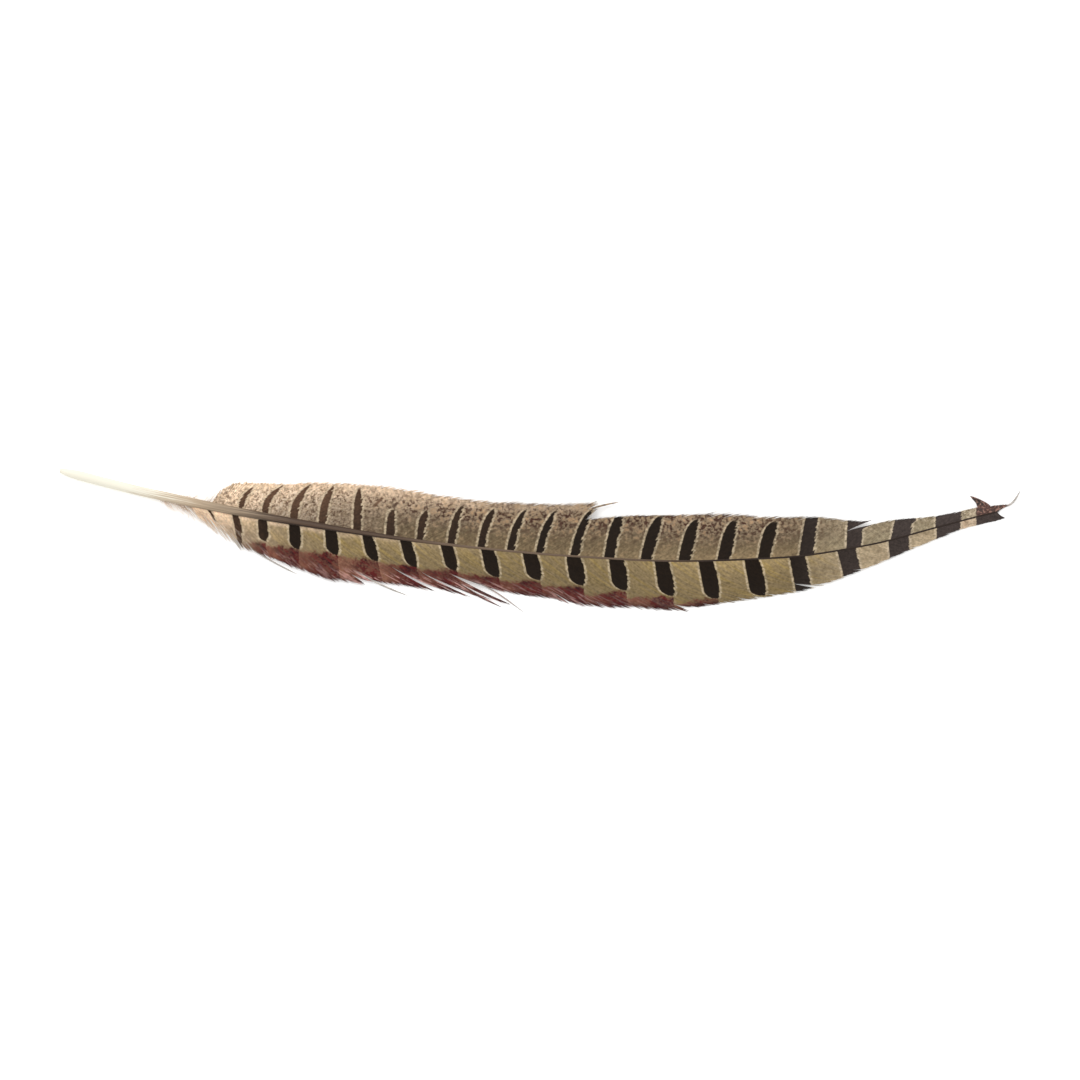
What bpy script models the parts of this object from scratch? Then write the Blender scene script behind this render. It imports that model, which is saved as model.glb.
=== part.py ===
"""A pheasant tail feather, lying on a surface with its upper side up.

It is one grown piece. A round quill runs on as a tapering shaft, and a thin vane stands
out on each side of the shaft. A vane is a curved sheet whose grain follows the barbs:
they leave the shaft slanting towards the tip and lean over further on their way to the
margin, where the sheet parts into locks.

+X runs from the quill to the tip, +Y towards the wider, speckled vane, +Z is up.
The design values are in millimetres and the model is in metres.
"""

import random

import bmesh
import bpy
import numpy as np

MM = 0.001

# Driving dimensions
SHEET = 0.5  # thickness of a vane
SHAFT_END = 143.0  # the shaft fades out here, inside the tip of the vanes
FIRST_BARB = -119.0  # where the first barbs leave the shaft
LAST_BARB = 144.0
QUILL_RADIUS = 1.5
SIDES_OF_QUILL = 8

# The shaft's course seen from above, as (along, across). Past the shaft's end the same
# line runs on as the parting between the two vanes.
SHAFT_LINE = (
    (-151, 21.8), (-121, 14.3), (-77, 5.7), (-29, -1.4), (11, -5.1), (44, -6.6),
    (76, -5.5), (103, -1.6), (126, 4.3), (141, 8.2), (149, 10.0),
)

# The height of the shaft's axis, as (along, height). The first stretch of the quill lies
# level on its own flat underside, and the rest arches over the surface.
UNDERSIDE = QUILL_RADIUS * float(np.cos(np.pi / SIDES_OF_QUILL))
SHAFT_HEIGHT = (
    (-151, UNDERSIDE), (-144, UNDERSIDE), (-128, UNDERSIDE), (-98, 2.7), (-55, 5.1),
    (0, 6.5), (45, 5.9), (90, 3.6), (128, 1.3), (149, 0.4),
)

# The shaft's radius, as (along, radius).
SHAFT_RADIUS = (
    (-151, 0.7), (-148, 1.25), (-144, QUILL_RADIUS), (-128, QUILL_RADIUS), (-95, 1.4),
    (-66, 1.1), (-38, 0.75), (-8, 0.5), (50, 0.38), (SHAFT_END, 0.3),
)

# Width of each vane from the shaft's axis to the margin, as (along, width).
UPPER = 1
LOWER = -1
VANE_WIDTH = {
    UPPER: (
        (-121, 1.6), (-112, 2.3), (-105, 2.9), (-101, 5.6), (-98.5, 7.8), (-95, 9.2),
        (-90, 10.2), (-82, 11.6), (-64, 14.6), (-46, 15.9), (-22, 14.8), (12, 16.4),
        (26, 18.0), (44, 15.2), (60, 14.1), (70, 12.9), (84, 11.9), (103, 7.0),
        (112, 5.9), (124, 3.6), (133, 2.9), (137, 2.8), (141.5, 2.3), (146, 1.7),
        (149, 1.0),
    ),
    LOWER: (
        (-121, 1.9), (-112, 5.0), (-101, 8.6), (-90, 12.2), (-64, 16.1), (-46, 15.0),
        (-11, 13.2), (6, 13.4), (24, 15.3), (42, 15.3), (59, 13.4), (90, 10.0),
        (103, 7.0), (116, 4.4), (125, 3.3), (133, 2.3), (143, 2.6), (147, 2.2),
        (149, 0.9),
    ),
}

# Height of each margin over the surface, as (along, height). The lower margin bears on
# the surface along the middle of the feather, and the upper one floats just over it.
TOUCHING = SHEET / 2
MARGIN_HEIGHT = {
    UPPER: (
        (-121, 1.3), (-98, 1.7), (-70, 2.1), (-42, 1.3), (-10, 2.0), (16, 1.2),
        (46, 1.8), (80, 1.0), (120, 0.8), (149, 0.6),
    ),
    LOWER: (
        (-121, 1.2), (-98, 1.2), (-70, 1.1), (-40, 0.5), (-10, TOUCHING),
        (62, TOUCHING), (90, 0.6), (120, 0.5), (143, TOUCHING), (149, TOUCHING),
    ),
}

# How far forward a barb runs before it meets the margin, as (root, run).
BARB_RUN = {
    UPPER: (
        (-119, 2), (-106, 2.2), (-102.5, 3.4), (-99, 7.4), (-95, 12.6), (-80, 22),
        (-50, 29), (15, 30), (60, 26), (90, 16), (112, 10.5), (130, 7.0), (144, 4.9),
    ),
    LOWER: (
        (-119, 3), (-106, 9), (-90, 19), (-60, 28), (0, 26), (40, 27), (60, 24),
        (90, 16), (112, 10), (130, 6.2), (144, 2.6),
    ),
}
EARLY_SHARE = 0.62  # of that run, the share a barb spends evenly; the rest comes late
BARB_DROOP = 1.6  # how late a barb bends down to the height of its margin

# The sheet's grid: columns follow the barbs and rows count off the width of the vane.
COLUMNS = 90
ROWS = (0.0, 0.26, 0.52, 0.74, 0.89, 1.0)
LOCK = 3  # columns in an ordinary lock
LOCK_GAP = (0.25, 0.7)
LOCK_ROW = 4  # the first row that an ordinary gap opens
SPLIT_REACH = 0.1  # how far to each side of a split its two edges take their length
SEED = 11

# Splits that go deeper than the ordinary gaps, as (root of the barb, gap at the margin,
# first row that is open).
SPLITS = {
    UPPER: ((-4, 0.5, 3), (88, 0.9, 3)),
    LOWER: ((-78, 0.8, 4), (-61, 0.9, 3), (-53, 1.1, 3), (-43, 1.6, 3), (-17, 0.5, 4),
            (20, 0.8, 4), (64, 0.8, 4)),
}

# Barbs worn short, as (root, share of the vane's width that is left).
WORN = {
    UPPER: (
        (-12, 1.0), (-8.4, 0.94), (-4.01, 0.74), (-3.99, 0.71), (0, 0.71), (5, 0.74),
        (9, 0.8), (15, 0.93), (20, 0.99), (24, 1.0), (87.99, 1.0), (88.01, 0.9), (97, 1.0),
    ),
    LOWER: ((-119, 1.0), (-78.01, 1.03), (-77.99, 0.93), (-61, 1.0), (-43.01, 1.05),
            (-42.99, 0.9), (-25, 1.0)),
}

# Loose strands that trail from the margin, as (vane, root of the barb they grow with,
# tip as along, across and height, sideways bow). The last is a barb lock at the tip
# that is bent back towards the quill.
STRANDS = (
    (LOWER, -102, (-75.9, -11.0, 0.9), 0.5),
    (LOWER, -77, (-41.4, -17.6, 0.6), 0.4),
    (LOWER, -49, (-12.0, -21.2, 0.4), 0.6),
    (LOWER, -41, (-4.9, -22.9, 0.4), 0.4),
    (LOWER, 18, (46.5, -22.6, 0.4), 0.0),
    (UPPER, -9, (25.6, 12.1, 1.2), 0.0),
    (UPPER, 131, (135.4, 13.9, 0.9), 0.3),
)
TIP_HAIR = (151.2, 15.8, 0.9)
TIP_HAIR_BOW = 0.3
STRAND_STEPS = 3

# The shaft's tube has rings this far apart, but none this near to a point of its tables.
RING_STEP = 12.0
RING_CLEARANCE = 4.0
FIRST_RING = -118.0
WELD = 0.01

PALETTE = {"barbs": (0.30, 0.24, 0.15)}
ROUGHNESS = {"barbs": 0.55}


def clear_scene():
    for thing in list(bpy.data.objects):
        bpy.data.objects.remove(thing, do_unlink=True)


def along(points, place):
    """The smooth curve through (along, value) points, read at a place. It never swings
    past the values on either side of it."""
    x, y = np.array(points, float).T
    step = np.diff(y) / np.diff(x)
    slope = np.zeros(len(x))
    before, after = step[:-1], step[1:]
    turning = before * after <= 0
    slope[1:-1] = np.where(turning, 0, 2 * before * after / np.where(turning, 1, before + after))
    slope[0], slope[-1] = step[0], step[-1]
    place = min(max(place, x[0]), x[-1])
    i = min(int(np.searchsorted(x, place, side="right")) - 1, len(step) - 1)
    run = x[i + 1] - x[i]
    t = (place - x[i]) / run
    return float(
        y[i] * (1 + 2 * t) * (1 - t) ** 2 + slope[i] * run * t * (1 - t) ** 2
        + y[i + 1] * t * t * (3 - 2 * t) + slope[i + 1] * run * t * t * (t - 1)
    )


def stepped(points, place):
    """The straight-line reading of (along, value) points."""
    x, y = np.array(points, float).T
    return float(np.interp(place, x, y))


def barb_point(side, root, share):
    """Where the barb that leaves the shaft at `root` has crossed `share` of its vane."""
    run = along(BARB_RUN[side], root)
    x = root + run * (EARLY_SHARE * share + (1 - EARLY_SHARE) * share ** 2)
    y = along(SHAFT_LINE, x) + side * share * along(VANE_WIDTH[side], x)
    bend = min(share, 1.0) ** BARB_DROOP
    top, edge = along(SHAFT_HEIGHT, x), along(MARGIN_HEIGHT[side], x)
    return np.array((x, y, top + (edge - top) * bend))


def nearest_column(root):
    return round((root - FIRST_BARB) / (LAST_BARB - FIRST_BARB) * COLUMNS)


def column_roots():
    """The places along the shaft where the columns start: evenly spaced, but for those
    nearest a deep split, which start at the split's own root."""
    roots = np.linspace(FIRST_BARB, LAST_BARB, COLUMNS + 1)
    for side in (UPPER, LOWER):
        for root, _, _ in SPLITS[side]:
            roots[nearest_column(root)] = root
    return roots


def lock_edges(side, chance):
    """The columns at which one lock ends and the next begins, each with its gap at the
    margin and the first row that is open."""
    offset = 1 if side == UPPER else 2
    edges = {
        column: (chance.uniform(*LOCK_GAP), LOCK_ROW)
        for column in range(offset, COLUMNS - 1, LOCK)
    }
    for root, gap, row in SPLITS[side]:
        column = nearest_column(root)
        edges.pop(column - 1, None)
        edges.pop(column + 1, None)
        edges[column] = (gap, row)
    return edges


def add_vane(sheet, roots, shaft_points, side, chance):
    """Lays one vane's grid of faces into the sheet. The two vanes share the points along
    the shaft. Returns the points by (column, row), each as a pair: the end of the lock
    before it, and the start of the lock after it."""
    edges = lock_edges(side, chance)
    grid = {}
    for column, root in enumerate(roots):
        worn = stepped(WORN[side], root)
        gap, open_row = edges.get(column, (0.0, len(ROWS)))
        for row, share in enumerate(ROWS):
            if row == 0:
                grid[column, row] = (shaft_points[column],) * 2
                continue
            if row < open_row:
                point = sheet.verts.new(barb_point(side, root, share * worn))
                grid[column, row] = (point, point)
                continue
            # Past the foot of a split the two sides stand apart along the shaft.
            opening = (share - ROWS[open_row - 1]) / (1 - ROWS[open_row - 1])
            away = np.array((gap * opening / 2, 0, 0))
            worn_before = stepped(WORN[side], root - SPLIT_REACH)
            worn_after = stepped(WORN[side], root + SPLIT_REACH)
            grid[column, row] = (
                sheet.verts.new(barb_point(side, root, share * worn_before) - away),
                sheet.verts.new(barb_point(side, root, share * worn_after) + away),
            )
    for column in range(COLUMNS):
        for row in range(len(ROWS) - 1):
            corners = (
                grid[column, row][1], grid[column + 1, row][0],
                grid[column + 1, row + 1][0], grid[column, row + 1][1],
            )
            sheet.faces.new(corners if side == UPPER else corners[::-1])
    return grid


def add_strand(sheet, near, far, side, tip, bow):
    """Draws the edge between two points of the sheet out into a thin strand that ends in
    a point."""
    end = np.array(tip)
    across = np.array((end[1] - near.co.y, near.co.x - end[0], 0))
    across *= bow * side / max(float(np.linalg.norm(across)), 1e-6)
    ends = [near, far]
    for step in range(1, STRAND_STEPS + 1):
        t = step / STRAND_STEPS
        swing = across * 4 * t * (1 - t)
        if step == STRAND_STEPS:
            fresh = [sheet.verts.new(end)]
        else:
            fresh = [
                sheet.verts.new(np.array(start.co) * (1 - t) + end * t + swing)
                for start in (near, far)
            ]
        corners = ends + fresh[::-1]
        sheet.faces.new(corners if side == UPPER else corners[::-1])
        ends = fresh


def make_vanes():
    """Both vanes and their loose strands as one thin closed sheet."""
    sheet = bmesh.new()
    roots = column_roots()
    shaft_points = [
        sheet.verts.new((x, along(SHAFT_LINE, x), along(SHAFT_HEIGHT, x))) for x in roots
    ]
    chance = random.Random(SEED)
    vanes = {
        side: add_vane(sheet, roots, shaft_points, side, chance)
        for side in (UPPER, LOWER)
    }
    margin = len(ROWS) - 1
    for side, root, tip, bow in STRANDS:
        column = nearest_column(root)
        near, far = vanes[side][column, margin][1], vanes[side][column + 1, margin][0]
        add_strand(sheet, near, far, side, tip, bow)
    near, far = (vanes[UPPER][COLUMNS, row][0] for row in (margin, margin - 1))
    add_strand(sheet, near, far, UPPER, TIP_HAIR, TIP_HAIR_BOW)
    bmesh.ops.recalc_face_normals(sheet, faces=sheet.faces)
    bmesh.ops.scale(sheet, vec=(MM, MM, MM), verts=sheet.verts)
    mesh = bpy.data.meshes.new("vanes")
    sheet.to_mesh(mesh)
    sheet.free()
    sheet_object = bpy.data.objects.new("vanes", mesh)
    thickness = sheet_object.modifiers.new("Sheet", "SOLIDIFY")
    thickness.thickness = SHEET * MM
    thickness.offset = 0.0
    return sheet_object


def shaft_stations():
    """The places along the shaft where its tube has a ring: the points of its own
    tables, and regular ones between them."""
    marks = {x for x, _ in SHAFT_RADIUS} | {x for x, _ in SHAFT_HEIGHT if x < SHAFT_END}
    regular = np.arange(FIRST_RING, SHAFT_END, RING_STEP)
    spaced = {float(x) for x in regular if min(abs(x - m) for m in marks) > RING_CLEARANCE}
    return sorted(marks | spaced)


def make_shaft(collection):
    """The quill and shaft: a tapering eight-sided tube with filled ends, turned so that a
    flat side faces down."""
    curve = bpy.data.curves.new("shaft", "CURVE")
    curve.dimensions = "3D"
    curve.twist_mode = "Z_UP"
    curve.bevel_depth = MM
    curve.bevel_resolution = 2
    curve.use_fill_caps = True
    stations = shaft_stations()
    line = curve.splines.new("POLY")
    line.points.add(len(stations) - 1)
    for point, x in zip(line.points, stations):
        y, z = along(SHAFT_LINE, x), along(SHAFT_HEIGHT, x)
        point.co = (x * MM, y * MM, z * MM, 1)
        point.radius = along(SHAFT_RADIUS, x)
        point.tilt = np.pi / SIDES_OF_QUILL
    guide = bpy.data.objects.new("shaft_line", curve)
    collection.objects.link(guide)
    bpy.context.view_layer.update()
    evaluated = guide.evaluated_get(bpy.context.evaluated_depsgraph_get())
    mesh = bpy.data.meshes.new_from_object(evaluated)
    tube = bmesh.new()
    tube.from_mesh(mesh)
    bmesh.ops.remove_doubles(tube, verts=tube.verts, dist=WELD * MM)
    bmesh.ops.recalc_face_normals(tube, faces=tube.faces)
    tube.to_mesh(mesh)
    tube.free()
    mesh.name = "feather"
    feather = bpy.data.objects.new("feather", mesh)
    feather.matrix_world = guide.matrix_world
    bpy.data.objects.remove(guide, do_unlink=True)
    return feather


def make_material(name):
    material = bpy.data.materials.new(name)
    material.use_nodes = True
    shader = material.node_tree.nodes["Principled BSDF"]
    shader.inputs["Base Color"].default_value = (*PALETTE[name], 1)
    shader.inputs["Roughness"].default_value = ROUGHNESS[name]
    shader.inputs["Metallic"].default_value = 0.0
    return material


def build():
    clear_scene()
    parts = bpy.data.collections.new("pheasant_tail_feather")
    helpers = bpy.data.collections.new("joined_shapes")
    for collection in (parts, helpers):
        bpy.context.scene.collection.children.link(collection)
    vanes = make_vanes()
    helpers.objects.link(vanes)
    vanes.hide_render = True
    vanes.display_type = "WIRE"
    feather = make_shaft(parts)
    parts.objects.link(feather)
    feather.data.materials.append(make_material("barbs"))
    union = feather.modifiers.new("Vanes", "BOOLEAN")
    union.operation = "UNION"
    union.solver = "EXACT"
    union.object = vanes


build()
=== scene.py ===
# %% [markdown]
# # A pheasant tail feather, barb by barb
#
# A feather is one grown piece. A hollow quill runs on as a tapering shaft, and each side
# of the shaft carries a vane: hundreds of thin barbs, hooked together so closely that they
# look like one sheet until something parts them.
#
# The frame holds a plain solid of the feather. This lesson keeps its size and its lines,
# and grows the real surface along them. Values are in millimetres and the model is in
# metres: `MM` turns one into the other where a mesh is made.

# %% Load the solid that the feather follows
import math

import bpy
import numpy as np
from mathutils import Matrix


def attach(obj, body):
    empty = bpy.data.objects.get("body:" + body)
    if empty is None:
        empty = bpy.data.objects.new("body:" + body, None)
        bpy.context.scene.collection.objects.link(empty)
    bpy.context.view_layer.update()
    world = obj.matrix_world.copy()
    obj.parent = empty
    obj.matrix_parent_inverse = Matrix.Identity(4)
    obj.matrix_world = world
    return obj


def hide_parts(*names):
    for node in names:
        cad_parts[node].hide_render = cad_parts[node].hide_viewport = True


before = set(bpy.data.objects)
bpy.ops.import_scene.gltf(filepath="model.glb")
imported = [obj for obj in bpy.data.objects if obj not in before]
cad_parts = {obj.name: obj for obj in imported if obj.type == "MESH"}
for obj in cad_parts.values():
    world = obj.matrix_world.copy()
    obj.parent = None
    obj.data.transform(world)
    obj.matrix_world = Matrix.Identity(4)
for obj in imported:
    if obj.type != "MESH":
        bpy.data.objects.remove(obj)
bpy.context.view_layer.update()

MM = 0.001

# %% [markdown]
# ## The lines of the feather
#
# A few kinds of line fix the whole form: the course of the shaft seen from above, its
# height and thickness, the width of each vane, the height of its margin, and how far
# forward a barb runs on its way there. Each is a table of points with a smooth curve
# through them, which is easier to correct against a real feather than a formula, and which
# never swings past the values on either side.

# %% A smooth curve through a table of points
def along(points, place):
    """The smooth curve through (along, value) points, read at one place or at many."""
    x, y = np.array(points, float).T
    step = np.diff(y) / np.diff(x)
    before, after = step[:-1], step[1:]
    turning = before * after <= 0
    slope = np.zeros(len(x))
    slope[1:-1] = np.where(turning, 0, 2 * before * after / np.where(turning, 1, before + after))
    slope[0], slope[-1] = step[0], step[-1]
    place = np.clip(place, x[0], x[-1])
    i = np.clip(np.searchsorted(x, place, side="right") - 1, 0, len(step) - 1)
    run = x[i + 1] - x[i]
    t = (place - x[i]) / run
    return (
        y[i] * (1 + 2 * t) * (1 - t) ** 2 + slope[i] * run * t * (1 - t) ** 2
        + y[i + 1] * t * t * (3 - 2 * t) + slope[i + 1] * run * t * t * (t - 1)
    )


def ease(value, start, end):
    """0 up to `start`, 1 from `end` on, and a smooth rise between them."""
    t = np.clip((value - start) / (end - start), 0, 1)
    return t * t * (3 - 2 * t)


def unit(vectors):
    """The same directions, each one long."""
    return vectors / np.linalg.norm(vectors, axis=-1, keepdims=True)


# %% The shaft: its course, height and radius
SHAFT_LINE = (
    (-151, 21.8), (-121, 14.3), (-77, 5.7), (-29, -1.4), (11, -5.1), (44, -6.6), (76, -5.5),
    (103, -1.6), (126, 4.3), (141, 8.2), (149, 10.0),
)
QUILL_RADIUS = 1.5
ON_ITS_FLAT = QUILL_RADIUS * math.cos(math.pi / 8)  # the solid's quill has eight flat sides
SHAFT_HEIGHT = (
    (-151, ON_ITS_FLAT), (-144, ON_ITS_FLAT), (-128, ON_ITS_FLAT), (-98, 2.7), (-55, 5.1),
    (0, 6.5), (45, 5.9), (90, 3.6), (128, 1.3), (149, 0.4),
)
SHAFT_END = 143.0
SHAFT_RADIUS = (
    (-151, 0.7), (-148, 1.25), (-144, QUILL_RADIUS), (-128, QUILL_RADIUS), (-95, 1.3), (-66, 0.95),
    (-38, 0.52), (-8, 0.34), (50, 0.28), (SHAFT_END, 0.24),
)

# %% The vanes: their width, the height of their margins and the run of their barbs
UPPER = 1  # the vane on the +Y side
LOWER = -1
VANE_WIDTH = {
    UPPER: (
        (-121, 1.6), (-112, 2.3), (-105, 2.9), (-101, 5.6), (-98.5, 7.8), (-95, 9.2), (-90, 10.0),
        (-82, 11.3), (-64, 14.5), (-46, 15.7), (-22, 15.0), (8, 16.4), (26, 18.1), (44, 15.4),
        (60, 14.5), (70, 13.2), (84, 12.2), (103, 7.5), (112, 6.1), (124, 3.8), (133, 3.1), (137, 3.0),
        (141.5, 2.4), (146, 1.8), (149, 1.0),
    ),
    LOWER: (
        (-121, 1.9), (-112, 5.2), (-101, 9.0), (-90, 12.7), (-64, 16.5), (-46, 15.4), (-11, 14.0),
        (3, 13.9), (10, 15.0), (17, 15.6), (30, 15.1), (40, 15.5), (60, 13.4), (90, 10.0), (103, 7.2),
        (116, 4.9), (125, 3.7), (133, 2.7), (143, 2.8), (147, 2.3), (149, 1.0),
    ),
}
TOUCHING = 0.25  # a margin at this height rests on the surface
MARGIN_HEIGHT = {
    UPPER: (
        (-121, 1.3), (-98, 1.7), (-70, 2.1), (-42, 1.3), (-10, 2.0), (16, 1.2), (46, 1.8), (80, 1.0),
        (120, 0.8), (149, 0.6),
    ),
    LOWER: (
        (-121, 1.2), (-98, 1.2), (-70, 1.1), (-40, 0.5), (-10, TOUCHING),
        (62, TOUCHING), (90, 0.6), (120, 0.5), (143, TOUCHING), (149, TOUCHING),
    ),
}
BARB_RUN = {
    UPPER: (
        (-119, 2), (-106, 2.2), (-102.5, 3.4), (-99, 7.4), (-95, 12.6), (-80, 22), (-50, 29), (15, 30),
        (60, 26), (90, 16), (112, 10.5), (130, 7.0), (144, 4.9),
    ),
    LOWER: (
        (-119, 3), (-106, 9), (-90, 19), (-60, 28), (0, 26), (40, 27), (60, 24), (90, 16), (112, 10),
        (130, 6.2), (144, 2.6),
    ),
}
EARLY_SHARE = 0.62  # of that run, the share a barb spends evenly; the rest comes late
BARB_DROOP = 1.6  # how late a barb bends down to the height of its margin


def barb_places(side, roots, shares):
    """Where each barb, named by its root, has crossed each share of its vane."""
    run = along(BARB_RUN[side], roots)
    x = roots + run * (EARLY_SHARE * shares + (1 - EARLY_SHARE) * shares ** 2)
    y = along(SHAFT_LINE, x) + side * shares * along(VANE_WIDTH[side], x)
    bend = np.minimum(shares, 1) ** BARB_DROOP
    top, edge = along(SHAFT_HEIGHT, x), along(MARGIN_HEIGHT[side], x)
    return np.stack((x, y, top + (edge - top) * bend), axis=-1)


# %% [markdown]
# ## How the margin parts
#
# Hooks hold the barbs together as far as the outer quarter of the vane. There the sheet
# parts into locks. Most partings are short, and a few reach deep, such as those that open
# the red fringe of the lower vane. A parting cuts no barb: each pushes its neighbours
# aside, most at the margin and less with each barb further off. Where the upper vane has
# lost its outer quarter, the barbs are worn short.

# %% Deep partings, worn barbs and loose strands
# Deep partings: (root of the barb, gap at the margin, share of the vane where it starts).
DEEP_PARTINGS = {
    UPPER: ((-4, 0.5, 0.7), (88, 1.4, 0.6)),
    LOWER: (
        (-78, 0.9, 0.8), (-61, 1.1, 0.58), (-53, 0.9, 0.62), (-43, 2.3, 0.62), (-17, 0.45, 0.8),
        (20, 1.0, 0.88), (64, 1.2, 0.74),
    ),
}
PUSH_REACH = (2.0, 1.6)  # how far a push is felt: at least, and more for each mm of gap
PUSH_SHARES = (0.25, 0.75)  # what the barbs nearer the quill and nearer the tip give way
# Barb lengths: (root, share of the vane's width that is reached). Worn barbs are below 1.
WORN = {
    UPPER: (
        (-103.5, 0.86), (-101, 0.97), (-99, 1), (-12, 1), (-8.4, 0.94), (-4.01, 0.74), (-3.99, 0.71),
        (0, 0.71), (5, 0.74), (9, 0.8), (15, 0.93), (20, 0.99), (24, 1), (87.99, 1), (88.01, 0.9),
        (97, 1),
    ),
    LOWER: (
        (-111, 0.75), (-108, 0.94), (-96, 0.93), (-86, 0.99), (-78.01, 0.99), (-77.99, 0.94), (-61, 1),
        (-54, 1.09), (-48, 1.16), (-43.01, 1.17), (-42.99, 0.95), (-25, 1),
    ),
}
# Loose strands: (vane, first root, last root, tip, sideways bow, stain from -1, pale, to 1, dark).
STRANDS = (
    (LOWER, -101.0, -100.5, (-75.9, -11.0, 0.9), -1.6, -0.7),
    (LOWER, -75.4, -74.8, (-41.4, -17.6, 0.6), 0.2, -0.8),
    (LOWER, -48.6, -46.0, (-12.0, -21.2, 0.4), 0.6, 0),
    (LOWER, -40.8, -40.2, (-4.9, -22.9, 0.4), 0.4, -0.5),
    (LOWER, 17.2, 18.6, (46.5, -22.6, 0.4), 0.0, 0),
    (LOWER, 64.3, 65.0, (89.5, -14.3, 0.4), 0.2, -0.3),
    (UPPER, -10.0, -8.6, (25.6, 12.1, 1.2), 0.0, 0),
    (UPPER, 132.4, 136.6, (135.3, 13.9, 0.9), 0.5, 1),
    (UPPER, 142.9, 144.1, (151.2, 15.6, 0.9), 0.3, -0.7),
)
SEED = 11
LOCK_WIDTH = (3.0, 9.0)
LOCK_GAP = {UPPER: (0.08, 0.28), LOWER: (0.1, 0.36)}
LOCK_START = (0.74, 0.94)
LOCK_REACH = 1.3
LOCK_LATENESS = 1.5  # above 1, more of the gap opens close to the margin
LOCK_CLEARANCE = 2.5  # an ordinary parting keeps this far from a deep one


def partings(side, chance):
    """Every parting of one vane, as (root, gap, start, reach of its push, lateness)."""
    least, more = PUSH_REACH
    deep = DEEP_PARTINGS[side]
    rows = [(root, gap, start, least + more * gap, 1.0) for root, gap, start in deep]
    root = FIRST_ROOT[side]
    while root < LAST_ROOT:
        root += chance.uniform(*LOCK_WIDTH)
        gap, start = chance.uniform(*LOCK_GAP[side]), chance.uniform(*LOCK_START)
        if min(abs(root - row[0]) for row in deep) > LOCK_CLEARANCE:
            rows.append((root, gap, start, LOCK_REACH, LOCK_LATENESS))
    return rows


# %% [markdown]
# ## Laying the barbs
#
# Each barb is laid as a line of points, from the side of the shaft to its tip, in rows of
# one big array: numpy then bends, swings and shortens all of them in a few sums. A real
# vane has two to three barbs in every millimetre of shaft, and these are a little coarser.

# %% Barb lines of one vane
PITCH = 0.42  # from one barb's root to the next
FIRST_ROOT = {UPPER: -103.5, LOWER: -110.5}
LAST_ROOT = 144.0
ROOT_DEPTH = 0.6  # where in the shaft a barb starts, as a share of the radius
STEPS = 18  # points in a barb
TIP_CROWDING = 1.25  # puts more of the points near the tip
COVER = 1.38  # a barb's width over the room it has, so that neighbours overlap
SHINGLE = 0.05  # how far a barb is rolled out of the vane's face, in radians
SHINGLE_SPREAD = 0.05
TIP_WIDTH = 0.22  # what is left of the width at the tip
LENGTH_SPREAD = 0.016
LIFT_SPREAD = 0.22  # how far barbs are lifted beside a parting
LIFT_REACH = 3.0
LOOSE_FOOT = (-98.0, -108.0)  # the barbs grow loose and wavy between these roots
LOOSE_SPREAD = 0.06
LOOSE_THINNING = 0.6
LOOSE_THINS = (0.1, 0.8)  # the shares across which they thin out
LOOSE_WAVES = (5, 11)  # how quickly they wave
LOOSE_SWING = (0.25, 0.4)  # how far they wave in the vane's face and upwards


def waves(shares, quickness, count, chance):
    """A wave along each strand, with its own length and start."""
    turns = chance.uniform(*quickness, (count, 1))
    return np.sin(shares * turns + chance.uniform(0, 6, (count, 1)))


def vane_lines(side, chance):
    """The barbs' roots and points and, for each point, the share crossed, the room and the fall."""
    count = int((LAST_ROOT - FIRST_ROOT[side]) / PITCH) + 1
    roots = FIRST_ROOT[side] + PITCH * np.arange(count)[:, None]
    steps = 1 - (1 - np.linspace(0, 1, STEPS)[None, :]) ** TIP_CROWDING
    loose = ease(-roots, -LOOSE_FOOT[0], -LOOSE_FOOT[1])
    spread = LENGTH_SPREAD + LOOSE_SPREAD * loose
    length = np.interp(roots, *np.array(WORN[side]).T)
    length = length * (1 + spread * chance.standard_normal((count, 1)))
    inside = ROOT_DEPTH * along(SHAFT_RADIUS, roots) / along(VANE_WIDTH[side], roots)
    shares = inside + (length - inside) * steps
    points = barb_places(side, roots, shares)
    room, fall = lie_of_barbs(points)
    forward = unit(np.gradient(points, axis=1)[..., :2])
    outward = side * np.stack((-forward[..., 1], forward[..., 0]), axis=-1)
    lift = np.zeros_like(shares)
    for root, gap, start, reach, lateness in partings(side, chance):
        away = roots - root
        share = np.where(away < 0, PUSH_SHARES[0], -PUSH_SHARES[1])
        push = share * np.exp(-np.abs(away) / reach) * gap
        opening = np.clip((shares - start) / (1 - start), 0, 1) ** lateness
        points[..., :2] += (push * opening)[..., None] * outward
        height = abs(chance.standard_normal()) * LIFT_SPREAD
        lift += height * np.exp(-(away / LIFT_REACH) ** 2) * opening
    wave = waves(shares, LOOSE_WAVES, count, chance)
    points[..., :2] += (LOOSE_SWING[0] * loose * wave * shares)[..., None] * outward
    points[..., 2] += lift + LOOSE_SWING[1] * loose * np.abs(wave) * shares
    room *= 1 - LOOSE_THINNING * loose * ease(shares, *LOOSE_THINS)
    return roots, points, shares, room, fall


def lie_of_barbs(points):
    """How far apart neighbouring barbs are, and how steeply the vane falls to their right."""
    along_barb = unit(np.gradient(points, axis=1))
    to_next = np.gradient(points, axis=0)
    to_next -= (to_next * along_barb).sum(-1, keepdims=True) * along_barb
    right = along_barb[..., 1] * to_next[..., 0] - along_barb[..., 0] * to_next[..., 1]
    fall = np.arctan2(-to_next[..., 2] * np.sign(right), np.abs(right))
    return np.linalg.norm(to_next, axis=-1), fall


# %% [markdown]
# A loose strand is a few barbs that have come away together. Its barbs keep their course
# as far as the margin and then run out to one point, each ending a little short of the
# one before, so that the strand tapers.

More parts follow.
